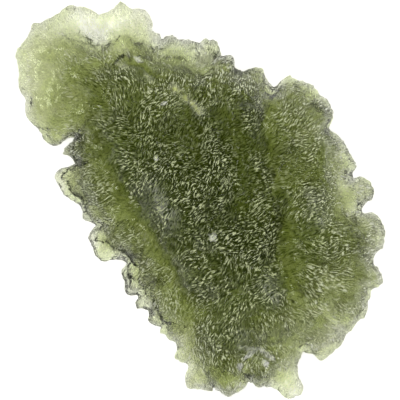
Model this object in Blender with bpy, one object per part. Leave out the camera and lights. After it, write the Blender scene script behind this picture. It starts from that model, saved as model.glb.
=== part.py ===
"""A rough moldavite: one piece of green natural glass, etched into lobes, grooves and thin flaps.

Metres, +Z up. The stone lies on a small flat spot at z = 0, with its long axis along X: the broad thin
head is at -X and the toothed foot at +X. Seen from above it has a jagged rim. From the rim the glass
swells to a thick core, and etched grooves run in from the rim's notches and fan out around the core.
"""

import math

import bmesh
import bpy
import numpy as np
from mathutils import Vector, geometry, noise

MM = 0.001

# The stone is described in millimetres from its middle, seen from above, with its long axis leaning down
# to the right by this much. turn() brings that onto X.
LEAN = math.radians(50)

# The rim, anticlockwise from the head's upper left corner.
HEAD_LEFT = [
    (-16.7, 17.7), (-17.45, 16.2), (-18.45, 14.9), (-18.15, 13.2), (-18.05, 11.1), (-17.45, 10.1),
    (-17.35, 8.5), (-16.7, 7.6), (-15.6, 6.35), (-14.65, 5.4), (-13.5, 6.0), (-12.7, 6.25),
]
LEFT_FLANK = [
    (-13.75, 4.7), (-12.9, 4.25), (-12.6, 3.65), (-13.8, 3.2), (-14.5, 2.45), (-14.05, 1.35), (-13.3, 0.35),
    (-12.45, -0.28), (-11.85, -0.75), (-11.7, -1.85), (-10.9, -2.15), (-10.3, -2.5), (-10.95, -3.25),
    (-11.15, -3.8), (-10.65, -4.85), (-9.95, -5.95), (-9.0, -5.9), (-7.65, -6.05), (-7.35, -6.4),
    (-7.75, -6.9), (-7.95, -7.45), (-7.55, -8.1), (-7.45, -9.25), (-7.0, -9.5), (-6.4, -9.5),
]
LEFT_TEETH = [
    (-6.05, -9.8), (-6.35, -10.25), (-6.25, -10.8), (-5.2, -11.05), (-5.05, -11.5), (-5.2, -12.0),
    (-4.35, -12.5), (-3.85, -12.7), (-3.9, -13.3), (-3.35, -13.45), (-3.05, -13.95), (-2.4, -14.25),
    (-2.15, -15.1), (-2.45, -16.0), (-1.5, -16.3), (-1.1, -16.65), (-1.45, -17.9), (-1.25, -18.75),
    (-0.4, -18.88), (1.05, -18.95), (1.2, -18.35),
]
FOOT = [
    (1.7, -18.55), (2.75, -19.4), (3.1, -19.1), (4.2, -18.85), (4.95, -17.95), (5.35, -18.35), (6.8, -18.6),
    (8.05, -19.35), (8.45, -19.8), (9.15, -20.0), (9.6, -19.6), (10.15, -19.55), (10.3, -18.8),
    (9.65, -17.45), (9.75, -16.6), (10.25, -15.2),
]
RIGHT_FLANK = [
    (11.4, -15.5), (12.2, -16.1), (13.1, -15.4), (14.3, -14.25), (14.65, -13.35), (15.15, -13.1),
    (16.0, -11.95), (16.55, -11.85), (16.8, -11.3), (16.95, -9.8), (17.1, -9.1), (18.1, -8.5), (18.4, -7.95),
    (17.8, -6.8), (17.3, -6.2), (17.7, -5.35), (18.15, -4.9), (18.45, -3.65), (18.45, -2.5), (17.75, -1.45),
    (17.1, -1.28), (16.4, -1.3),
]
RIGHT_LOBES = [
    (16.3, -0.9), (17.05, 0.05), (17.4, 0.85), (17.0, 1.8), (16.05, 2.3), (15.3, 2.15), (15.35, 2.8),
    (15.75, 3.4), (14.85, 4.85), (14.3, 6.05), (13.3, 6.8), (12.9, 7.25), (13.4, 8.2), (13.0, 9.45),
    (12.2, 10.4), (11.65, 11.0), (10.45, 11.85), (9.4, 12.15), (8.95, 12.42), (7.95, 11.65), (7.4, 11.2),
]
CROWN = [
    (6.7, 12.15), (6.2, 13.07), (4.5, 13.0), (3.6, 13.3), (3.15, 14.45), (2.1, 14.45), (1.85, 15.2),
    (1.55, 15.85), (0.5, 16.13), (-0.05, 15.8), (-1.4, 16.05), (-2.2, 16.12), (-2.8, 16.5), (-3.9, 16.07),
]
HEAD_TOP = [
    (-4.1, 16.65), (-4.85, 16.95), (-4.75, 17.6), (-5.3, 18.75), (-5.75, 19.2), (-7.05, 19.15),
    (-7.95, 19.85), (-8.65, 19.15), (-10.2, 18.52), (-11.05, 19.15), (-13.35, 19.35), (-14.25, 18.65),
    (-16.0, 17.75),
]
RIM = HEAD_LEFT + LEFT_FLANK + LEFT_TEETH + FOOT + RIGHT_FLANK + RIGHT_LOBES + CROWN + HEAD_TOP

# The plan's mesh: points this far apart along the rim, on rings just inside it, and inside those.
RIM_STEP = 0.62
RING_INSETS = (0.3, 0.85)
CORE_STEP = 0.78
CORE_JITTER = 0.22
CORE_INSET = 1.3

# The rim's edge stands at this height over the table and waves up and down. RIM_HALF is half its thickness.
RIM_LEVEL = 2.9
RIM_WAVE = 0.9
RIM_WAVE_LENGTH = 8.0
RIM_HALF = 0.25

# From the rim the glass thickens to a plate.
PLATE_REACH = 2.8
PLATE_UP = 1.9
PLATE_DOWN = 0.9
THINNEST = 0.5

# Over the plate stand round swells, and a few sunken places: how wide, how high above it and how deep
# below it, and where. A swell is no round dome, because its outline wanders.
SWELLS = [
    (9.5, 3.3, 1.3, (0.8, -0.6)),
    (5.0, 1.3, 0.4, (-4.0, 7.0)),
    (4.6, 1.5, 0.5, (4.2, -7.6)),
    (4.4, 1.5, 0.5, (2.5, 9.2)),
    (4.2, 2.0, 0.7, (-7.6, 13.4)),
    (1.9, 1.1, 0.4, (-4.4, 13.2)),
    (2.2, 1.0, 0.3, (-10.8, 13.0)),
    (3.8, 3.6, 1.2, (-11.4, 5.4)),
    (4.0, 0.9, 0.4, (-8.6, 1.6)),
    (4.5, 0.8, 0.4, (6.8, 7.6)),
    (5.0, 1.4, 0.6, (11.6, 4.2)),
    (4.8, 0.8, 0.3, (12.0, -3.6)),
    (3.0, 2.8, 1.2, (16.6, -6.8)),
    (1.8, 1.8, 0.7, (15.4, -10.8)),
    (2.2, 0.9, 0.3, (7.6, -11.4)),
    (2.2, 1.2, 0.4, (12.2, -4.4)),
    (3.6, 1.3, 0.5, (-2.0, -12.0)),
    (2.2, 2.2, 0.8, (9.8, -14.8)),
    (2.4, 1.8, 0.8, (1.6, -15.0)),
    (1.7, 3.0, 1.0, (2.3, -18.2)),
    (2.2, 2.4, 0.9, (6.0, -17.4)),
    (3.6, -2.8, -1.2, (-9.8, 17.6)),
    (1.3, 1.6, 0.5, (-16.4, 9.4)),
    (2.2, 2.8, 1.0, (12.8, 7.4)),
    (2.0, 2.2, 0.8, (7.9, 10.8)),
    (1.6, 1.2, 0.4, (13.2, 2.4)),
    (2.4, 3.0, 1.0, (3.4, 13.2)),
    (2.6, 1.3, 0.4, (-6.3, -4.5)),
    (2.4, 1.4, 0.4, (-3.9, -10.4)),
]
SWELL_REACH = 2.6
SWELL_WANDER = 1.1
EASE = 0.12

# Etched grooves in the upper side: how wide and deep, and the line that each follows.
GROOVES = [
    (1.8, 0.8, [(-13.4, 10.5), (-9.2, 4.6), (-7.8, 0.2), (-5.0, -3.4)]),
    (1.8, 0.8, [(-4.9, -3.5), (-2.6, -6.6), (-1.5, -10.0), (-1.0, -14.2)]),
    (1.5, 0.8, [(7.4, 11.6), (6.2, 7.0), (7.8, 2.4)]),
    (1.4, 0.7, [(8.9, -1.6), (8.2, -5.4), (9.3, -9.6)]),
    (1.1, 1.0, [(1.8, 11.0), (2.8, 8.4), (4.3, 3.2), (3.6, -1.0)]),
    (1.0, 0.9, [(-2.6, 12.0), (-1.4, 8.6), (0.2, 3.8)]),
    (1.0, 1.0, [(-8.0, 14.6), (-5.2, 12.8)]),
    (1.0, 0.8, [(-12.6, 3.7), (-10.4, 3.4), (-8.6, 2.4)]),
    (1.0, 0.7, [(-10.3, -2.5), (-7.6, -2.2), (-5.2, -3.4)]),
    (1.0, 0.7, [(-7.4, -6.4), (-5.0, -5.6), (-2.8, -6.8)]),
    (1.0, 0.6, [(-6.1, -9.9), (-3.6, -9.2), (-1.8, -9.8)]),
    (1.0, 0.6, [(-3.6, -13.2), (-1.2, -12.2)]),
    (1.0, 0.6, [(1.3, -18.3), (0.6, -16.6)]),
    (1.0, 0.9, [(5.0, -17.9), (4.4, -15.4)]),
    (1.0, 0.8, [(10.2, -15.2), (9.6, -12.6), (9.1, -10.0)]),
    (1.0, 0.5, [(14.6, -13.4), (12.0, -10.6)]),
    (1.0, 0.6, [(17.1, -9.1), (13.6, -8.2), (10.6, -6.4)]),
    (1.0, 0.6, [(17.3, -6.2), (13.4, -5.2)]),
    (1.0, 0.8, [(16.4, -1.1), (13.2, -1.6), (12.6, -3.6)]),
    (1.0, 0.9, [(15.3, 2.2), (12.4, 2.6), (9.6, 1.2)]),
    (1.0, 0.6, [(12.9, 7.3), (10.4, 6.2), (7.4, 5.4)]),
    (1.0, 0.6, [(-4.0, 16.1), (-4.6, 12.4), (-3.4, 9.0)]),
    (1.0, 0.6, [(-10.2, 18.5), (-9.6, 15.6)]),
    (1.0, 0.6, [(-16.0, 8.4), (-15.4, 11.0)]),
]

# Ridges and pads that stand up between the grooves.
RIDGES = [
    (1.5, 0.7, [(-4.9, 1.0), (-2.6, -2.2)]),
    (1.3, 0.6, [(-2.0, -5.6), (1.0, -9.0), (4.4, -13.8)]),
    (1.1, 0.7, [(11.4, 1.0), (11.6, -2.6)]),
    (1.0, 0.6, [(6.8, -8.0), (7.4, -10.2)]),
    (1.3, 0.6, [(-0.4, 11.4), (2.6, 10.4)]),
    (1.2, 0.3, [(-7.8, 11.6), (-4.8, 10.8)]),
    (1.0, 0.3, [(-9.4, 6.2), (-7.2, 4.6)]),
    (1.0, 0.7, [(-2.9, 9.6), (-1.2, 8.0), (1.2, 8.6)]),
    (1.2, 0.5, [(4.2, -13.4), (7.0, -13.6), (10.6, -12.4)]),
    (1.0, 0.7, [(5.4, 8.6), (4.6, 3.0)]),
    (1.1, 0.6, [(7.2, -0.8), (5.8, -5.0)]),
    (1.1, 0.5, [(-6.4, 7.0), (-4.2, 4.0), (-2.2, 1.6)]),
    (1.0, 0.6, [(1.4, 5.0), (1.9, 0.4), (0.4, -4.0)]),
    (1.0, 0.5, [(-10.6, 1.2), (-9.2, -3.2)]),
    (1.0, 0.5, [(14.2, -2.6), (16.4, -4.0)]),
    (1.0, 0.4, [(-14.6, 15.4), (-10.8, 16.6)]),
]

# Round hollows: how wide and deep, and where.
HOLLOWS = [
    (1.0, 0.7, (14.0, 0.8)),
    (1.6, 0.8, (-14.6, 12.4)),
    (1.6, 0.6, (8.6, 8.2)),
    (1.5, 0.6, (12.4, 5.0)),
    (2.0, 0.5, (13.4, -7.2)),
    (1.8, 0.5, (12.0, -12.2)),
    (1.3, 0.5, (1.6, 13.6)),
    (1.3, 0.6, (-6.6, 17.2)),
]

# Small ribs fan out around the core, along the curves that meet two foci on the long axis.
FAN_FOCUS = 12.0
FAN_ROUND = 8.5
FAN_ALONG = 2.6
FAN_CLEAR = 3.5
FAN_UP = 0.45
FAN_DOWN = 0.25
LUMP_LENGTH = 3.2
LUMP_UP = 0.3
LUMP_DOWN = 0.3

# The underside's flat spot.
REST_AT = (1.0, 0.0)
REST_LONG = 6.0
REST_WIDE = 4.4
REST_DROP = 0.7

SEED = Vector((3.7, 11.2, 5.9))


def turn(points):
    """Leaning points, brought onto the long axis."""
    points = np.asarray(points, dtype=float)
    cos, sin = math.cos(LEAN), math.sin(LEAN)
    return points @ np.array([[cos, sin], [-sin, cos]])


def spline(points, step):
    """A closed smooth line through the points, as points about a step apart."""
    line = []
    count = len(points)
    for i in range(count):
        p0, p1, p2, p3 = (points[(i + k) % count] for k in (-1, 0, 1, 2))
        t1 = np.linalg.norm(p1 - p0) ** 0.5
        t2 = t1 + np.linalg.norm(p2 - p1) ** 0.5
        t3 = t2 + np.linalg.norm(p3 - p2) ** 0.5
        parts = max(1, round(np.linalg.norm(p2 - p1) / step))
        for k in range(parts):
            t = t1 + (t2 - t1) * k / parts
            a1 = p0 + (p1 - p0) * t / t1
            a2 = p1 + (p2 - p1) * (t - t1) / (t2 - t1)
            a3 = p2 + (p3 - p2) * (t - t2) / (t3 - t2)
            b1 = a1 + (a2 - a1) * t / t2
            b2 = a2 + (a3 - a2) * (t - t1) / (t3 - t1)
            line.append(b1 + (b2 - b1) * (t - t1) / (t2 - t1))
    return np.array(line)


def distance(points, line, closed=False):
    """How far each point is from a line of straight pieces."""
    ends = np.roll(line, -1, axis=0) if closed else line[1:]
    starts = line if closed else line[:-1]
    nearest = np.full(len(points), np.inf)
    for start, end in zip(starts, ends):
        along = end - start
        share = np.clip((points - start) @ along / (along @ along), 0, 1)
        nearest = np.minimum(nearest, np.linalg.norm(points - start - share[:, None] * along, axis=1))
    return nearest


def inside(points, line):
    """True where a point is inside the closed line."""
    crossed = np.zeros(len(points), dtype=bool)
    for (x0, y0), (x1, y1) in zip(line, np.roll(line, -1, axis=0)):
        if y0 == y1:
            continue
        spans = (points[:, 1] > y0) != (points[:, 1] > y1)
        at = x0 + (points[:, 1] - y0) * (x1 - x0) / (y1 - y0)
        crossed ^= spans & (points[:, 0] < at)
    return crossed


def ring(rim, inset):
    """Points on a ring inside the rim, without those that crowd together in its corners."""
    along = np.roll(rim, -1, axis=0) - np.roll(rim, 1, axis=0)
    inward = np.column_stack((-along[:, 1], along[:, 0])) / np.linalg.norm(along, axis=1)[:, None]
    points = rim + inward * inset
    points = points[(distance(points, rim, closed=True) > inset * 0.93) & inside(points, rim)]
    kept = []
    for point in points:
        if all(np.linalg.norm(point - other) > RIM_STEP * 0.62 for other in kept):
            kept.append(point)
    return np.array(kept)


def lattice(rim):
    """A slightly uneven triangular lattice that fills the plan inside the rings."""
    low, high = rim.min(axis=0), rim.max(axis=0)
    points = []
    for row, y in enumerate(np.arange(low[1], high[1], CORE_STEP * math.sqrt(0.75))):
        for x in np.arange(low[0] + CORE_STEP / 2 * (row % 2), high[0], CORE_STEP):
            points.append((x, y))
    points = np.array(points)
    jitter = np.column_stack((wave(points, CORE_STEP, 40.0), wave(points, CORE_STEP, 50.0)))
    points = points + jitter * CORE_JITTER
    return points[inside(points, rim) & (distance(points, rim, closed=True) > CORE_INSET)]


def wave(points, length, shift=0.0):
    """Smooth noise between about -1 and 1, with lumps of about the given length."""
    return np.array([noise.noise(Vector((x / length, y / length, shift)) + SEED) for x, y in points]) * 1.6


def fan(points, shift=0.0):
    """Noise drawn out into ribs that fan away from the core."""
    swept = np.arccosh((points[:, 0] + 1j * points[:, 1]) / FAN_FOCUS)
    places = zip(np.cos(swept.imag), np.sin(swept.imag), swept.real)
    ribs = []
    for across, up, out in places:
        place = Vector((across * FAN_ROUND, up * FAN_ROUND, out * FAN_ALONG + shift))
        ribs.append(noise.noise(place + SEED))
    clear_of_axis = 1 - np.exp(-(np.sinh(swept.real) * FAN_FOCUS / FAN_CLEAR) ** 2)
    return (0.6 - 2.4 * np.abs(ribs)) * clear_of_axis


def marks(points, group):
    """The summed height of a group of grooves or ridges."""
    total = np.zeros(len(points))
    for width, height, line in group:
        total += height * np.exp(-(distance(points, turn(line)) / width) ** 2)
    return total


def swells(points):
    """How far the swells raise the upper side and sink the lower one."""
    raised, sunk = np.zeros(len(points)), np.zeros(len(points))
    shift = np.column_stack((wave(points, 5.0, 20.0), wave(points, 5.0, 30.0))) * SWELL_WANDER
    for width, above, below, middle in SWELLS:
        near = np.exp(-(np.linalg.norm(points + shift - turn([middle])[0], axis=1) / width) ** 2)
        raised += above * near
        sunk += below * near
    return raised, sunk


def at_least(height):
    """Heights eased so that none drops under zero."""
    return np.logaddexp(0, height / EASE) * EASE


def hollows(points):
    """The summed depth of the round hollows."""
    total = np.zeros(len(points))
    for width, depth, middle in HOLLOWS:
        away = np.linalg.norm(points - turn([middle])[0], axis=1)
        total += depth * np.exp(-(away / width) ** 2)
    return total


def heights(points, rim):
    """The upper and the lower height of the glass over each point of the plan."""
    depth_in = distance(points, rim, closed=True)
    plate = 1 - np.exp(-depth_in / PLATE_REACH)
    raised, sunk = swells(points)
    raised, sunk = (side * (1 - np.exp(-depth_in / SWELL_REACH)) for side in (raised, sunk))

    middle = RIM_LEVEL + RIM_WAVE * wave(points, RIM_WAVE_LENGTH) * np.exp(-sunk)
    relief = marks(points, RIDGES) - marks(points, GROOVES) - hollows(points)
    relief = relief + FAN_UP * fan(points) + LUMP_UP * wave(points, LUMP_LENGTH, 4.0)
    up = at_least(PLATE_UP * plate + raised + relief * plate)

    away = np.linalg.norm((points - turn([REST_AT])[0]) / (REST_LONG, REST_WIDE), axis=1)
    rough = FAN_DOWN * fan(points, 7.0) + LUMP_DOWN * wave(points, LUMP_LENGTH * 1.4, 9.0)
    spot = np.exp(-away ** 4)
    down = at_least(PLATE_DOWN * plate + sunk + rough * plate * (1 - spot)) + REST_DROP * spot
    top = middle + RIM_HALF + up
    bottom = np.maximum(middle - RIM_HALF - down, 0.0)
    return np.maximum(top, bottom + THINNEST), bottom


def stone():
    rim = spline(turn(RIM), RIM_STEP)
    rings = [ring(rim, inset) for inset in RING_INSETS]
    plan = np.vstack([rim, *rings, lattice(rim)])
    flat, _, sheet, *_ = geometry.delaunay_2d_cdt(
        [Vector(point) for point in plan], [], [list(range(len(rim)))], 1, 1e-5)
    points = np.array([tuple(point) for point in flat])
    top, bottom = heights(points, rim)

    points = points - (rim.min(axis=0) + rim.max(axis=0)) / 2
    bm = bmesh.new()
    lower = [bm.verts.new((x * MM, y * MM, z * MM)) for (x, y), z in zip(points, bottom)]
    for corners in sheet:
        bm.faces.new([lower[i] for i in corners])
    bm.verts.index_update()
    raised = bmesh.ops.extrude_face_region(bm, geom=bm.faces[:], use_keep_orig=True)
    by_place = {(v.co.x, v.co.y): i for i, v in enumerate(lower)}
    for vert in (v for v in raised["geom"] if isinstance(v, bmesh.types.BMVert)):
        vert.co.z = top[by_place[(vert.co.x, vert.co.y)]] * MM
    bmesh.ops.recalc_face_normals(bm, faces=bm.faces[:])
    bmesh.ops.triangulate(bm, faces=bm.faces[:])
    mesh = bpy.data.meshes.new("moldavite")
    bm.to_mesh(mesh)
    bm.free()
    return mesh


def glass():
    """Clear bottle-green glass with an etched, silky surface."""
    material = bpy.data.materials.new("moldavite_glass")
    material.use_nodes = True
    shader = material.node_tree.nodes["Principled BSDF"]
    shader.inputs["Base Color"].default_value = (0.12, 0.17, 0.05, 1.0)
    shader.inputs["Roughness"].default_value = 0.22
    shader.inputs["Metallic"].default_value = 0.0
    shader.inputs["IOR"].default_value = 1.49
    shader.inputs["Transmission Weight"].default_value = 0.6
    material.diffuse_color = (0.24, 0.32, 0.08, 1.0)
    return material


def main():
    for old in list(bpy.data.objects):
        bpy.data.objects.remove(old)
    mesh = stone()
    mesh.materials.append(glass())
    mesh.shade_smooth()
    collection = bpy.data.collections.new("moldavite")
    bpy.context.scene.collection.children.link(collection)
    collection.objects.link(bpy.data.objects.new("moldavite", mesh))


main()
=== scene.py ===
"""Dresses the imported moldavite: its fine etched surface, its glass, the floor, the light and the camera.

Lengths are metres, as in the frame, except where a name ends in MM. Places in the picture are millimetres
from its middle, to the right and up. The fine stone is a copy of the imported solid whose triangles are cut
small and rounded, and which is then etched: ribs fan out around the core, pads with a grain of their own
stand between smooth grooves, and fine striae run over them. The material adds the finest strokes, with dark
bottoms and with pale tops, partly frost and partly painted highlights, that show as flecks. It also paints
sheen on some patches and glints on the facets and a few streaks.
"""

import math

import bmesh
import bpy
import numpy as np
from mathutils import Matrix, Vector, bvhtree, noise


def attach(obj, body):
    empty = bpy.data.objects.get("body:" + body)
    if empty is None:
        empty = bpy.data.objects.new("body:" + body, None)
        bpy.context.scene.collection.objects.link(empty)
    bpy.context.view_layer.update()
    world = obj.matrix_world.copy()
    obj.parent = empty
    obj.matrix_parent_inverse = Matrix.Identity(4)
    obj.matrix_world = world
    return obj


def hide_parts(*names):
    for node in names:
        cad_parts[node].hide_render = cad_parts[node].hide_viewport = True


MM = 0.001

# The stone's long axis lies along X, and in the picture it leans down to the right by this much.
LEAN = math.radians(50)
# The middle of the picture, in the frame, how wide the picture is, and the height where it is that wide.
PICTURE_MIDDLE_MM = (1.4, -1.53)
PICTURE_WIDTH_MM = 40.0
PICTURE_LEVEL_MM = 4.2

CAMERA_HEIGHT = 0.35
CAMERA_NEAR = 0.01
CAMERA_SENSOR_MM = 36.0

# Soft square lamps: name, place and power.
LAMPS = [
    ("soft_left", (-0.20, -0.10, 0.20), 0.31),
    ("soft_top", (0.02, 0.22, 0.20), 0.25),
    ("soft_right", (0.22, -0.08, 0.18), 0.22),
]
LAMP_SIZE = 0.11
LAMP_COLOR = (1.0, 1.0, 0.93)
# The room is pale level with the stone and dark above: how far up, and the colour there.
ROOM_STOPS = [(0.0, (0.5, 0.5, 0.47, 1)), (0.35, (0.03, 0.03, 0.03, 1))]

FLOOR_SIZE = 3.0
FLOOR_GAP = 0.0002
FLOOR_COLOR = (0.8, 0.8, 0.77, 1)
FLOOR_ROUGHNESS = 0.9
FLOOR_GLOW_COLOR = (1.0, 1.0, 0.95, 1)
FLOOR_GLOW = 0.85

# The fine stone's mesh, and how far its facets are rounded (0 none, 1 fully).
MOST_TRIANGLES = 199_000
ROUNDING = 0.7
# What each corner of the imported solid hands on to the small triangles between.
CARRIED = ("tilt_a", "tilt_b", "reach", "outward", "local")
# A corner's surroundings are its neighbours, taken this many times over.
SURROUNDINGS = 10
# How deep in the glass a measurement of its thickness starts.
SKIN_MM = 0.05
# Corners nearer to each other than this are one.
MERGED = 1e-7
NEARLY_NOTHING = 1e-12

# Noise: the place where it starts, how far from there each layer starts, and what brings it to about 1.
SEED = Vector((8.3, 2.9, 17.1))
SHIFTS = {"ribs": 3.0, "striae": 7.0, "lumps": 11.0, "bend_x": 21.0, "bend_y": 31.0, "ragged": 41.0}
SHIFT_Y = 0.37
NOISE_REACH = 1.6

# Ribs fan out around the core, along the curves that meet two foci on the long axis.
FAN_FOCUS_MM = 12.0
FAN_STEP = 0.01
RIB_MM = 0.08
RIB_TOP = 0.5
RIB_FALL = 1.6
RIB_ROUND = 34
RIB_OUT = 9
# Each other layer of relief: how far it stands out, and how long and how wide its marks are.
LUMP_MM = 0.07
LUMP_LENGTH_MM = 1.3
PAD_SIZE_MM = 2.3
PAD_TILT = 0.08
PAD_EDGE_MM = 0.08
PAD_EDGE_WIDTH = 0.08
PAD_WARP = 0.35
STRIA_MM = 0.06
STRIA_LONG_MM = 1.2
STRIA_WIDE_MM = 0.36
# What sets one pad's own numbers, its striae and its grain apart from the next pad's.
PAD_OWN = 7.3
STRIA_APART = 50
GRAIN_APART = 40
# The relief fades out this far above the surface that the stone rests on.
REST_FADE_MM = 0.25

# The grain is the finest etching, which only the material shows.
GRAIN_LONG_MM = 0.42
GRAIN_WIDE_MM = 0.12
GRAIN_TURN = 1.1
GRAIN_BEND_MM = 0.22
GRAIN_BEND_LENGTH_MM = 1.6
GRAIN_DEEP_MM = 0.2

# Calm places, where the surface is smooth. Each has a width, how calm it is and its line in the picture.
CALM_HEAD_MM = [
    (3.2, 0.9, [(-15.6, 14.6), (-15.4, 9.0)]),
    (2.6, 0.9, [(-12.0, 17.6), (-6.6, 17.4)]),
    (2.4, 0.8, [(-12.6, 11.6), (-10.6, 9.2)]),
    (0.9, 0.9, [(-7.2, 13.8), (-5.6, 13.0)]),
]
LEFT_GROOVE_MM = [
    (-11.0, 7.4), (-9.2, 4.6), (-7.9, 0.2), (-5.0, -3.4), (-2.6, -6.6), (-1.5, -10.0), (-1.0, -14.2),
]
CALM_GROOVES_MM = [
    (1.1, 0.8, LEFT_GROOVE_MM),
    (0.9, 0.8, [(7.4, 11.3), (6.2, 7.0), (7.6, 2.4), (8.7, -1.6)]),
    (1.1, 0.9, [(8.5, -2.0), (8.4, -5.6), (9.4, -9.0)]),
    (0.9, 0.8, [(2.6, 8.6), (4.2, 3.4)]),
    (0.8, 0.8, [(-1.2, 9.2), (-0.2, 4.2)]),
]
CALM_FLANK_AND_CORE_MM = [
    (3.0, 0.45, [(-12.6, 1.6), (-9.4, -3.6), (-6.0, -9.0), (-1.0, -16.6)]),
    (1.4, 0.45, [(1.0, -5.6), (5.0, -8.0)]),
    (1.4, 0.4, [(-3.4, 5.4), (-1.2, 2.6)]),
]
CLEAR_TEETH_MM = [
    (1.1, 0.9, [(8.2, -18.0), (9.4, -19.0)]),
    (1.1, 0.9, [(-10.2, -4.2), (-9.0, -5.4)]),
    (1.0, 0.9, [(-15.0, 2.6), (-13.4, 1.2)]),
    (0.9, 0.85, [(14.2, 1.0), (15.0, -0.6)]),
]
CALM_MM = CALM_HEAD_MM + CALM_GROOVES_MM + CALM_FLANK_AND_CORE_MM + CLEAR_TEETH_MM
# How much of its relief the surface loses where it is fully calm.
CALMING = 0.6

# Places where the upper side is etched deeper: how wide, how deep, and the line of each in the picture.
ETCHED_MM = [
    (1.7, 0.55, [(-9.6, -4.4), (-6.4, -8.8), (-4.6, -11.0)]),
    (1.0, 0.4, [(-13.2, 2.2), (-11.8, 0.4)]),
    (1.5, 0.9, [(-4.0, 14.4), (0.4, 14.0)]),
    (1.8, 0.45, [(-12.4, 15.6), (-8.6, 15.4)]),
    (1.3, 0.7, [(13.8, 4.2), (14.2, 2.0), (14.4, -0.6)]),
    (1.2, 0.8, [(8.0, -17.6), (9.4, -19.0)]),
    (1.0, 0.4, [(6.4, 11.2), (8.4, 10.8)]),
    (1.2, 0.4, [(-9.8, 6.4), (-9.6, 3.8)]),
    (1.6, 0.6, [(-9.6, 13.0), (-7.0, 11.0)]),
    (1.4, 0.4, [(7.4, -11.6), (9.0, -12.6)]),
    (1.6, 0.5, [(10.0, 7.6), (11.2, 4.6)]),
    (1.4, 0.6, [(9.2, 10.0), (10.8, 8.6)]),
    (1.2, 0.5, [(0.6, 9.6), (1.4, 8.4)]),
]
# The most of the glass's thickness that is etched away there.
ETCHED_SHARE = 0.35
# Places in the foot where the upper side stands higher, given the same way.
RAISED_MM = [
    (1.2, 0.6, [(1.6, -17.6), (2.6, -18.6)]),
    (1.2, 0.5, [(5.6, -17.0), (6.6, -17.6)]),
]

# Flat facets that mirror a lamp: where, how long and wide, and which way they lie in the picture.
FACETS_MM = [
    ((1.3, -3.7), 0.62, 0.5, math.radians(-35)),
    ((-6.2, 14.0), 0.7, 0.32, math.radians(-30)),
    ((-3.6, 9.6), 0.4, 0.25, math.radians(20)),
    ((-4.4, 4.1), 0.35, 0.3, math.radians(-20)),
    ((5.0, -15.4), 0.9, 0.3, math.radians(35)),
    ((6.5, -16.2), 0.6, 0.35, math.radians(-50)),
    ((4.0, -16.6), 0.5, 0.3, math.radians(70)),
]
# How far each facet is whitened: a painted glint, on top of the lamp that it mirrors.
FACET_PAINTED_GLINT = 0.9
# Only a surface whose normal points up by more than this gets a facet.
FACET_UPWARD = 0.1

# Whitened places: silky grey patches of painted sheen, and white shards in the foot. Each has a width, how
# whitened it is and its line.
FROST_AND_SHEEN_MM = [
    (0.8, 0.33, [(-4.6, 1.2), (-3.6, -0.8), (-2.6, -2.0)]),
    (0.8, 0.2, [(10.9, 0.6), (11.8, -1.8)]),
    (0.8, 0.2, [(6.6, -8.2), (7.4, -9.8)]),
    (0.8, 0.2, [(4.2, -13.4), (7.0, -13.8), (10.4, -12.4)]),
    (0.25, 0.9, [(4.0, -14.6), (6.2, -15.0), (7.2, -15.8)]),
]
# Glints, where light comes up through the glass: a streak in the crown and a few by the head.
GLINTS_MM = [
    (0.35, 0.9, [(-2.7, 11.3), (-1.4, 10.2), (0.0, 8.8)]),
    (0.2, 0.6, [(-8.2, 13.6), (-7.4, 13.2)]),
    (0.2, 0.5, [(-5.4, 12.4), (-4.8, 11.8)]),
]
# The painted sheen, the shards and the glints are ragged: how long their tatters are, how strong they stay,
# and by how much that varies.
RAGGED_MM = 0.5
RAGGED_MIDDLE = 0.75
RAGGED_BY = 0.6
# Glass thinner than this is a little frosted, the more the thinner it is, but not where it is calmest.
RIM_MM = 1.4
RIM_FROST = 0.28
RIM_CALM = 0.9
RIM_CALM_STEEP = 3

# From half of this above its surroundings to half of it below them, a place turns from crest to hollow.
HOLLOW_MM = 0.5
# The glass counts as thin below the first thickness and as thick above the second.
THIN_MM = (1.5, 6.0)

# The glass itself, and its glossy skin.
GLASS_IOR = 1.49
GLASS_DEPTH_COLOR = (0.43, 0.48, 0.04, 1)
GLASS_DEPTH_DENSITY = 600
SPECULAR_LEVEL = 0.06
SPECULAR_TINT = (0.3, 0.36, 0.12, 1)
COAT_WEIGHT = 0.35
COAT_ROUGHNESS = 0.1
COAT_IOR = 1.5

# The two textures: patches, so many to a metre, and strokes, whose size is the grain's.
PATCH_SCALE = 420
PATCH_DETAIL = 3
STROKE_DETAIL = 1.0

# The colour that the grain gives the surface, from the bottom of its strokes to their pale tops, partly
# frost and partly painted highlights.
STROKE_STOPS = [
    (0.4, (0.1, 0.14, 0.05, 1)),
    (0.47, (0.99, 0.99, 0.97, 1)),
    (0.57, (0.99, 0.99, 0.97, 1)),
    (0.6, (0.84, 0.91, 0.56, 1)),
]
# A faint yellow cast in some patches.
CAST_STOPS = [(0.4, (0.93, 0.97, 0.8, 1)), (0.58, (1, 1, 1, 1))]
WHITE = (1, 1, 1, 1)
GLINT_COLOR = (0.8, 0.88, 0.32, 1)

# How the material reads a mark or a texture: the span that it reads, and what that span's ends become.
BUMP_BY_HOLLOW = ((0.35, 0.9), (1.0, 0.6))
BUMP_BY_PATCH = ((0.4, 0.55), (0.55, 1.0))
ETCHED_BY_CALM = ((0.1, 0.9), (1.0, 0.12))
ROUGHNESS_BY_THIN = ((0.0, 1.0), (0.3, 0.1))
CREST_BY_STROKE = ((0.58, 0.6), (0.0, 1.0))
CREST_BY_PATCH = ((0.42, 0.54), (0.25, 1.0))
PALE_BY_THIN = ((0.0, 1.0), (0.0, 0.7))
CLEAR_BY_FROST_AND_PAINTED_LIGHT = ((0.0, 1.0), (1.0, 0.0))


def leaning(points):
    """Places in the picture, in millimetres from its middle, brought into the frame."""
    points = np.asarray(points, dtype=float)
    cos, sin = math.cos(LEAN), math.sin(LEAN)
    return points @ np.array([[cos, sin], [-sin, cos]]) + PICTURE_MIDDLE_MM


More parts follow.
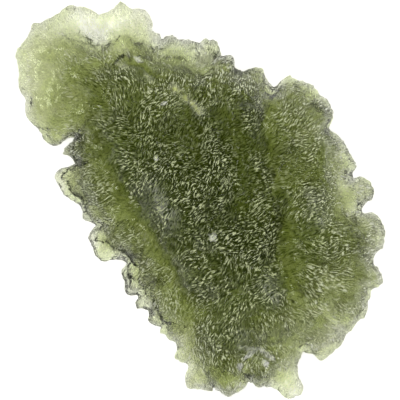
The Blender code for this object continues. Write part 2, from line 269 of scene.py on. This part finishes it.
def noise_at(places, layer):
    """A layer's smooth noise, between about -1 and 1, at places given in units of one lump."""
    shift = SHIFTS[layer]
    move = SEED + Vector((shift, shift * SHIFT_Y, -shift))
    return np.array([noise.noise(Vector(place) + move) for place in places]) * NOISE_REACH


def read(mesh, name):
    """A mesh's vertex places, or one of its vector layers, as rows."""
    values = np.empty(len(mesh.vertices) * 3)
    if name == "co":
        mesh.vertices.foreach_get("co", values)
    else:
        mesh.attributes[name].data.foreach_get("vector", values)
    return values.reshape(-1, 3)


def near_lines(plan_mm, lines):
    """Each line's strength on the line, and less with distance from it."""
    nearest = np.zeros(len(plan_mm))
    for width, strength, line in lines:
        line = leaning(line)
        for start, end in zip(line[:-1], line[1:]):
            along = end - start
            share = np.clip((plan_mm - start) @ along / (along @ along), 0, 1)
            away = np.linalg.norm(plan_mm - start - share[:, None] * along, axis=1)
            nearest = np.maximum(nearest, strength * np.exp(-(away / width) ** 2))
    return nearest


def standing(bm):
    """How far each vertex stands out from its surroundings, along its normal, in millimetres."""
    bm.verts.index_update()
    start = np.array([vert.co for vert in bm.verts])
    normals = np.array([vert.normal for vert in bm.verts])
    ends = np.array([[vert.index for vert in edge.verts] for edge in bm.edges])
    count = np.bincount(ends.ravel(), minlength=len(start))[:, None]
    around = start
    for _ in range(SURROUNDINGS):
        total = np.zeros_like(around)
        np.add.at(total, ends[:, 0], around[ends[:, 1]])
        np.add.at(total, ends[:, 1], around[ends[:, 0]])
        around = total / count
    return np.einsum("ij,ij->i", start - around, normals) / MM


def thickness(bm):
    """How much glass lies over or under each vertex, in millimetres."""
    tree = bvhtree.BVHTree.FromBMesh(bm)
    through = []
    for vert in bm.verts:
        way = Vector((0, 0, -math.copysign(1.0, vert.normal.z)))
        hit = tree.ray_cast(vert.co + way * SKIN_MM * MM, way)
        through.append(0.0 if hit[0] is None else hit[3] / MM)
    return through


def cut_small(base):
    """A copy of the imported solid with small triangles, which carry what rounding them needs."""
    mesh = base.data.copy()
    bm = bmesh.new()
    bm.from_mesh(mesh)
    bmesh.ops.remove_doubles(bm, verts=bm.verts, dist=MERGED)
    bmesh.ops.triangulate(bm, faces=bm.faces)
    bm.normal_update()
    tilt_a, tilt_b, reach, outward, local = [bm.verts.layers.float_vector.new(name) for name in CARRIED]
    for vert, stands, through in zip(bm.verts, standing(bm), thickness(bm)):
        x, y, z = vert.normal
        vert[tilt_a] = (x * x, x * y, x * z)
        vert[tilt_b] = (y * y, y * z, z * z)
        vert[reach] = vert.normal * vert.normal.dot(vert.co)
        vert[outward] = vert.normal
        vert[local] = (stands, through, 0)
    parts = int(math.sqrt(MOST_TRIANGLES / len(bm.faces)))
    bmesh.ops.subdivide_edges(bm, edges=bm.edges, cuts=parts - 1, use_grid_fill=True)
    bmesh.ops.triangulate(bm, faces=[face for face in bm.faces if len(face.verts) > 3])
    bm.to_mesh(mesh)
    bm.free()
    return mesh


def rounded(mesh):
    """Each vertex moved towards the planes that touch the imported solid's corners, to round its facets."""
    co = read(mesh, "co")
    a, b, reach = (read(mesh, name) for name in ("tilt_a", "tilt_b", "reach"))
    x, y, z = co.T
    dots = np.column_stack((
        a[:, 0] * x + a[:, 1] * y + a[:, 2] * z,
        a[:, 1] * x + b[:, 0] * y + b[:, 1] * z,
        a[:, 2] * x + b[:, 1] * y + b[:, 2] * z,
    ))
    return co + ROUNDING * (reach - dots)


def swept(plan_mm):
    """How far round the core, in radians, and how far out, each place lies."""
    away = plan_mm - PICTURE_MIDDLE_MM
    turned = np.arccosh((away[:, 0] + 1j * away[:, 1]) / FAN_FOCUS_MM)
    return turned.imag, turned.real


def fan_angle(plan_mm):
    """The direction in which the ribs run at each place."""
    around, out = swept(plan_mm)
    ahead = FAN_FOCUS_MM * np.cosh(out + FAN_STEP + 1j * around)
    here = FAN_FOCUS_MM * np.cosh(out + 1j * around)
    return np.angle(ahead - here)


def pads(places_mm):
    """For each place the middle of its pad, three numbers of the pad's own, and how near its edge is."""
    middles, own, edge = [], [], []
    for place in places_mm / PAD_SIZE_MM:
        apart, near = noise.voronoi(Vector(place) + SEED)
        middle = near[0] - SEED
        middles.append((middle.x, middle.y))
        own.append(noise.cell_vector(near[0] * PAD_OWN))
        edge.append(apart[1] - apart[0])
    return np.array(middles) * PAD_SIZE_MM, np.array(own), np.array(edge)


def along_across(plan_mm, middles, own):
    """Places measured from their pad's middle, along and across the pad's own direction."""
    away = plan_mm - middles
    angle = fan_angle(middles) + (own[:, 2] - 0.5) * GRAIN_TURN
    cos, sin = np.cos(angle), np.sin(angle)
    return away[:, 0] * cos + away[:, 1] * sin, away[:, 1] * cos - away[:, 0] * sin


def fine_relief(mm):
    """How far the ribs, lumps, pads and striae stand out at each place, in millimetres."""
    around, out = swept(mm[:, :2])
    fan = np.column_stack((np.cos(around) * RIB_ROUND, np.sin(around) * RIB_ROUND, out * RIB_OUT))
    ribs = noise_at(fan, "ribs")
    lumps = noise_at(mm / LUMP_LENGTH_MM, "lumps")
    middles, own, edge = pads(mm + lumps[:, None] * PAD_WARP)
    tilt = np.einsum("ij,ij->i", mm[:, :2] - middles, own[:, :2] - 0.5) * 2
    along, across = along_across(mm[:, :2], middles, own)
    layer = own[:, 2] * STRIA_APART
    striae = noise_at(np.column_stack((along / STRIA_LONG_MM, across / STRIA_WIDE_MM, layer)), "striae")
    height = RIB_MM * (RIB_TOP - RIB_FALL * np.abs(ribs)) + LUMP_MM * lumps + PAD_TILT * tilt
    return height - PAD_EDGE_MM * np.exp(-edge / PAD_EDGE_WIDTH) + STRIA_MM * striae


def etch(mesh):
    """Moves the rounded stone's vertices in and out along their normals, by every layer of relief."""
    co = rounded(mesh)
    outward = read(mesh, "outward")
    outward /= np.linalg.norm(outward, axis=1)[:, None] + NEARLY_NOTHING
    mm = co / MM
    plan = mm[:, :2]

    height = fine_relief(mm) * (1 - CALMING * near_lines(plan, CALM_MM))
    through = read(mesh, "local")[:, 1]
    deep = np.minimum(near_lines(plan, ETCHED_MM), ETCHED_SHARE * through)
    height = height + (near_lines(plan, RAISED_MM) - deep) * (outward[:, 2] > 0)
    above_rest = np.clip(mm[:, 2] / REST_FADE_MM, 0, 1)
    co = co + outward * (height * above_rest * MM)[:, None]
    co[:, 2] = np.maximum(co[:, 2], 0.0)
    mesh.vertices.foreach_set("co", co.ravel())
    mesh.update()


def on_facet(plan_mm, facet):
    """True for each place that lies on the facet, and its way from the facet's middle."""
    place, long, wide, turn = facet
    away = plan_mm - leaning([place])[0]
    angle = turn + LEAN
    cos, sin = math.cos(angle), math.sin(angle)
    along = away[:, 0] * cos + away[:, 1] * sin
    across = away[:, 1] * cos - away[:, 0] * sin
    return np.abs(along) / long + np.abs(across) / wide < 1, away


def cut_facets(mesh):
    """Cuts the flat facets into the upper side, tilted so that they mirror the first lamp to the sky."""
    co = read(mesh, "co")
    top = read(mesh, "outward")[:, 2] > FACET_UPWARD
    _, lamp_place, _ = LAMPS[0]
    facing = Vector(lamp_place).normalized() + Vector((0, 0, 1))
    for facet in FACETS_MM:
        near, away = on_facet(co[:, :2] / MM, facet)
        near &= top
        level = np.median(co[near, 2])
        rise = -(away[:, 0] * facing.x + away[:, 1] * facing.y) / facing.z * MM
        co[near, 2] = (level + rise)[near]
    mesh.vertices.foreach_set("co", co.ravel())
    mesh.update()


def grain(mesh):
    """Gives each face's corners their place in the grain of the face's own pad."""
    count = len(mesh.polygons)
    middle = np.empty(count * 3)
    mesh.polygons.foreach_get("center", middle)
    corners = np.empty(count * 3, dtype=np.int32)
    mesh.loops.foreach_get("vertex_index", corners)
    co = read(mesh, "co") / MM
    bent = co / GRAIN_BEND_LENGTH_MM
    bend = np.column_stack((noise_at(bent, "bend_x"), noise_at(bent, "bend_y"))) * GRAIN_BEND_MM
    middles, own, _ = pads(middle.reshape(-1, 3) / MM)
    middles, own = (np.repeat(values, 3, axis=0) for values in (middles, own))
    along, across = along_across((co[:, :2] + bend)[corners], middles, own)
    layer = own[:, 0] * GRAIN_APART + co[corners, 2] / GRAIN_LONG_MM
    places = np.column_stack((along / GRAIN_LONG_MM, across / GRAIN_WIDE_MM, layer))
    mesh.attributes.new("grain", "FLOAT_VECTOR", "CORNER").data.foreach_set("vector", places.ravel())


def frost_and_painted_light(mm, through, calm, glint, ragged):
    """How much each place is whitened: painted sheen on the silky patches, the white shards, frost on the
    thin rim, and the painted glints.
    """
    places = np.clip(near_lines(mm[:, :2], FROST_AND_SHEEN_MM) * ragged, 0, 1)
    rim = RIM_FROST * np.clip(1 - through / RIM_MM, 0, 1)
    rim = rim * np.clip(RIM_CALM_STEEP * (RIM_CALM - calm), 0, 1)
    return np.maximum(np.maximum(places, rim), glint)


def mark(mesh):
    """Marks hollow, thin and calm places, the frost with the painted sheen and painted glints, and the
    glints' colour, and drops what the mesh carried.
    """
    stands, through, _ = read(mesh, "local").T.copy()
    mm = read(mesh, "co") / MM
    ragged = RAGGED_MIDDLE + RAGGED_BY * noise_at(mm / RAGGED_MM, "ragged")
    calm = near_lines(mm[:, :2], CALM_MM)
    glint = np.clip(near_lines(mm[:, :2], GLINTS_MM) * ragged, 0, 1)
    marks = {
        "hollow": np.clip(0.5 - stands / HOLLOW_MM, 0, 1),
        "thin": 1 - np.clip((through - THIN_MM[0]) / (THIN_MM[1] - THIN_MM[0]), 0, 1),
        "frost_and_painted_light": frost_and_painted_light(mm, through, calm, glint, ragged),
        "calm": calm,
        "glint": glint,
    }
    # Each facet is calm, and whitened as a painted glint.
    for facet in FACETS_MM:
        near, _ = on_facet(mm[:, :2], facet)
        marks["calm"][near] = 1
        marks["frost_and_painted_light"][near] = FACET_PAINTED_GLINT
    for name in CARRIED:
        mesh.attributes.remove(mesh.attributes[name])
    for name, values in marks.items():
        mesh.attributes.new(name, "FLOAT", "POINT").data.foreach_set("value", values)


def stored(tree, name, output="Fac"):
    """A mark of the mesh's own, as a node's output."""
    node = tree.nodes.new("ShaderNodeAttribute")
    node.attribute_name = name
    return node.outputs[output]


def noise_texture(tree, places, scale, detail):
    node = tree.nodes.new("ShaderNodeTexNoise")
    node.inputs["Scale"].default_value = scale
    node.inputs["Detail"].default_value = detail
    tree.links.new(places, node.inputs["Vector"])
    return node.outputs["Fac"]


def mapped(tree, source, spans):
    """A value whose first span is stretched to the second, and held at its ends."""
    node = tree.nodes.new("ShaderNodeMapRange")
    (from_low, from_high), (to_low, to_high) = spans
    node.inputs["From Min"].default_value = from_low
    node.inputs["From Max"].default_value = from_high
    node.inputs["To Min"].default_value = to_low
    node.inputs["To Max"].default_value = to_high
    tree.links.new(source, node.inputs["Value"])
    return node.outputs["Result"]


def combined(tree, operation, first, *others):
    """Several values brought together one after the other."""
    for other in others:
        node = tree.nodes.new("ShaderNodeMath")
        node.operation = operation
        tree.links.new(first, node.inputs[0])
        tree.links.new(other, node.inputs[1])
        first = node.outputs["Value"]
    return first


def ramp(tree, source, stops):
    """A colour for each value, from stops of a value and its colour."""
    node = tree.nodes.new("ShaderNodeValToRGB")
    elements = node.color_ramp.elements
    for index, (position, color) in enumerate(stops):
        element = elements[index] if index < 2 else elements.new(position)
        element.position = position
        element.color = color
    tree.links.new(source, node.inputs["Fac"])
    return node.outputs["Color"]


def tinted(tree, color, share, target):
    """A colour that turns to the plain target colour by the given share."""
    node = tree.nodes.new("ShaderNodeMix")
    node.data_type = "RGBA"
    node.inputs["B"].default_value = target
    tree.links.new(color, node.inputs["A"])
    tree.links.new(share, node.inputs["Factor"])
    return node.outputs["Result"]


def multiplied(tree, first, second):
    """Two colours multiplied."""
    node = tree.nodes.new("ShaderNodeMix")
    node.data_type = "RGBA"
    node.blend_type = "MULTIPLY"
    node.inputs["Factor"].default_value = 1.0
    tree.links.new(first, node.inputs["A"])
    tree.links.new(second, node.inputs["B"])
    return node.outputs["Result"]


def plain_glass(material):
    """Sets what is the same all over the glass, and returns its shader."""
    tree = material.node_tree
    shader = tree.nodes["Principled BSDF"]
    shader.inputs["Transmission Weight"].default_value = 1.0
    shader.inputs["IOR"].default_value = GLASS_IOR
    shader.inputs["Specular IOR Level"].default_value = SPECULAR_LEVEL
    shader.inputs["Specular Tint"].default_value = SPECULAR_TINT
    shader.inputs["Coat Weight"].default_value = COAT_WEIGHT
    shader.inputs["Coat Roughness"].default_value = COAT_ROUGHNESS
    shader.inputs["Coat IOR"].default_value = COAT_IOR
    depth = tree.nodes.new("ShaderNodeVolumeAbsorption")
    depth.inputs["Color"].default_value = GLASS_DEPTH_COLOR
    depth.inputs["Density"].default_value = GLASS_DEPTH_DENSITY
    tree.links.new(depth.outputs["Volume"], tree.nodes["Material Output"].inputs["Volume"])
    return shader


def bumped(tree, strokes, patches, etched):
    """The normal that the grain bends, less so in hollows, in some patches and where it isn't etched."""
    bump = tree.nodes.new("ShaderNodeBump")
    bump.inputs["Distance"].default_value = GRAIN_DEEP_MM * MM
    tree.links.new(strokes, bump.inputs["Height"])
    by_hollow = mapped(tree, stored(tree, "hollow"), BUMP_BY_HOLLOW)
    by_patch = mapped(tree, patches, BUMP_BY_PATCH)
    tree.links.new(combined(tree, "MULTIPLY", by_hollow, by_patch, etched), bump.inputs["Strength"])
    return bump.outputs["Normal"]


def clearness(tree, strokes, patches, etched):
    """How clear the glass is: its crests are whitened, partly as frost and partly as painted highlights,
    and so are the places that the mesh marks, with their frost, painted sheen and painted glints.
    """
    crests = mapped(tree, strokes, CREST_BY_STROKE)
    by_patch = mapped(tree, patches, CREST_BY_PATCH)
    frost_and_painted_light_share = combined(tree, "MULTIPLY", crests, etched, by_patch)
    frost_and_painted_light_share = combined(tree, "MAXIMUM", frost_and_painted_light_share, stored(tree, "frost_and_painted_light"))
    return mapped(tree, frost_and_painted_light_share, CLEAR_BY_FROST_AND_PAINTED_LIGHT)


def surface_color(tree, strokes, patches):
    """Dark in the strokes' bottoms but for thin glass, greenish on their tops, which are partly painted
    highlights, yellow in the painted glints.
    """
    strokes_color = ramp(tree, strokes, STROKE_STOPS)
    pale = tinted(tree, strokes_color, mapped(tree, stored(tree, "thin"), PALE_BY_THIN), WHITE)
    cast = multiplied(tree, pale, ramp(tree, patches, CAST_STOPS))
    return tinted(tree, cast, stored(tree, "glint"), GLINT_COLOR)


def glass():
    """Green glass with a glossy skin, darker the thicker it is, finely etched but for its calm places."""
    material = bpy.data.materials.new("moldavite_glass")
    material.use_nodes = True
    tree = material.node_tree
    shader = plain_glass(material)

    body = tree.nodes.new("ShaderNodeTexCoord")
    patches = noise_texture(tree, body.outputs["Object"], PATCH_SCALE, PATCH_DETAIL)
    strokes = noise_texture(tree, stored(tree, "grain", "Vector"), 1.0, STROKE_DETAIL)
    etched = mapped(tree, stored(tree, "calm"), ETCHED_BY_CALM)

    normal = bumped(tree, strokes, patches, etched)
    tree.links.new(normal, shader.inputs["Normal"])
    tree.links.new(normal, shader.inputs["Coat Normal"])
    tree.links.new(mapped(tree, stored(tree, "thin"), ROUGHNESS_BY_THIN), shader.inputs["Roughness"])
    tree.links.new(clearness(tree, strokes, patches, etched), shader.inputs["Transmission Weight"])
    tree.links.new(surface_color(tree, strokes, patches), shader.inputs["Base Color"])
    return material


def floor():
    bpy.ops.mesh.primitive_plane_add(size=FLOOR_SIZE, location=(0, 0, -FLOOR_GAP))
    plane = bpy.context.object
    plane.name = "floor"
    material = bpy.data.materials.new("floor_pale")
    material.use_nodes = True
    shader = material.node_tree.nodes["Principled BSDF"]
    shader.inputs["Base Color"].default_value = FLOOR_COLOR
    shader.inputs["Roughness"].default_value = FLOOR_ROUGHNESS
    shader.inputs["Emission Color"].default_value = FLOOR_GLOW_COLOR
    shader.inputs["Emission Strength"].default_value = FLOOR_GLOW
    plane.data.materials.append(material)


def lamp(name, place, power):
    """A square soft lamp, aimed at the stone."""
    light = bpy.data.lights.new(name, "AREA")
    light.size = LAMP_SIZE
    light.energy = power
    light.color = LAMP_COLOR
    lamp_object = bpy.data.objects.new(name, light)
    lamp_object.location = place
    aim = Vector((0, 0, 0)) - Vector(place)
    lamp_object.rotation_euler = aim.to_track_quat("-Z", "Y").to_euler()
    bpy.context.scene.collection.objects.link(lamp_object)


def room():
    """The light that comes from all round."""
    world = bpy.data.worlds.new("studio")
    bpy.context.scene.world = world
    world.use_nodes = True
    tree = world.node_tree
    way = tree.nodes.new("ShaderNodeTexCoord")
    parts = tree.nodes.new("ShaderNodeSeparateXYZ")
    tree.links.new(way.outputs["Generated"], parts.inputs["Vector"])
    background = tree.nodes["Background"]
    tree.links.new(ramp(tree, parts.outputs["Z"], ROOM_STOPS), background.inputs["Color"])
    background.inputs["Strength"].default_value = 1.0


def camera():
    """Looks straight down, through the lens that makes the picture as wide as it is named above."""
    data = bpy.data.cameras.new("camera")
    data.sensor_width = CAMERA_SENSOR_MM
    data.lens = CAMERA_SENSOR_MM * (CAMERA_HEIGHT / MM - PICTURE_LEVEL_MM) / PICTURE_WIDTH_MM
    data.clip_start = CAMERA_NEAR
    eye = bpy.data.objects.new("camera", data)
    eye.location = (PICTURE_MIDDLE_MM[0] * MM, PICTURE_MIDDLE_MM[1] * MM, CAMERA_HEIGHT)
    eye.rotation_euler = (0, 0, LEAN)
    bpy.context.scene.collection.objects.link(eye)
    bpy.context.scene.camera = eye


def stone():
    """The fine stone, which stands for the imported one."""
    mesh = cut_small(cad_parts["moldavite"])
    etch(mesh)
    cut_facets(mesh)
    grain(mesh)
    mark(mesh)
    mesh.shade_smooth()
    mesh.materials.clear()
    mesh.materials.append(glass())
    piece = bpy.data.objects.new("moldavite_stone", mesh)
    bpy.context.scene.collection.objects.link(piece)
    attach(piece, "root")
    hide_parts("moldavite")
    print("triangles", len(mesh.polygons))


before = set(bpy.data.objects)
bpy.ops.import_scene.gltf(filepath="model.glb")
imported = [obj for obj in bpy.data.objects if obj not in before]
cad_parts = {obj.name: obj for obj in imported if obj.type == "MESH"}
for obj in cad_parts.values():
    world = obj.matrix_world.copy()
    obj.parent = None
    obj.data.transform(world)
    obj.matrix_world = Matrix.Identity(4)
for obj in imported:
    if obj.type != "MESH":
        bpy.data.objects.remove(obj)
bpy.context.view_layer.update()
bpy.context.scene.view_settings.view_transform = "Standard"
camera()
floor()
room()
for name, place, power in LAMPS:
    lamp(name, place, power)
stone()
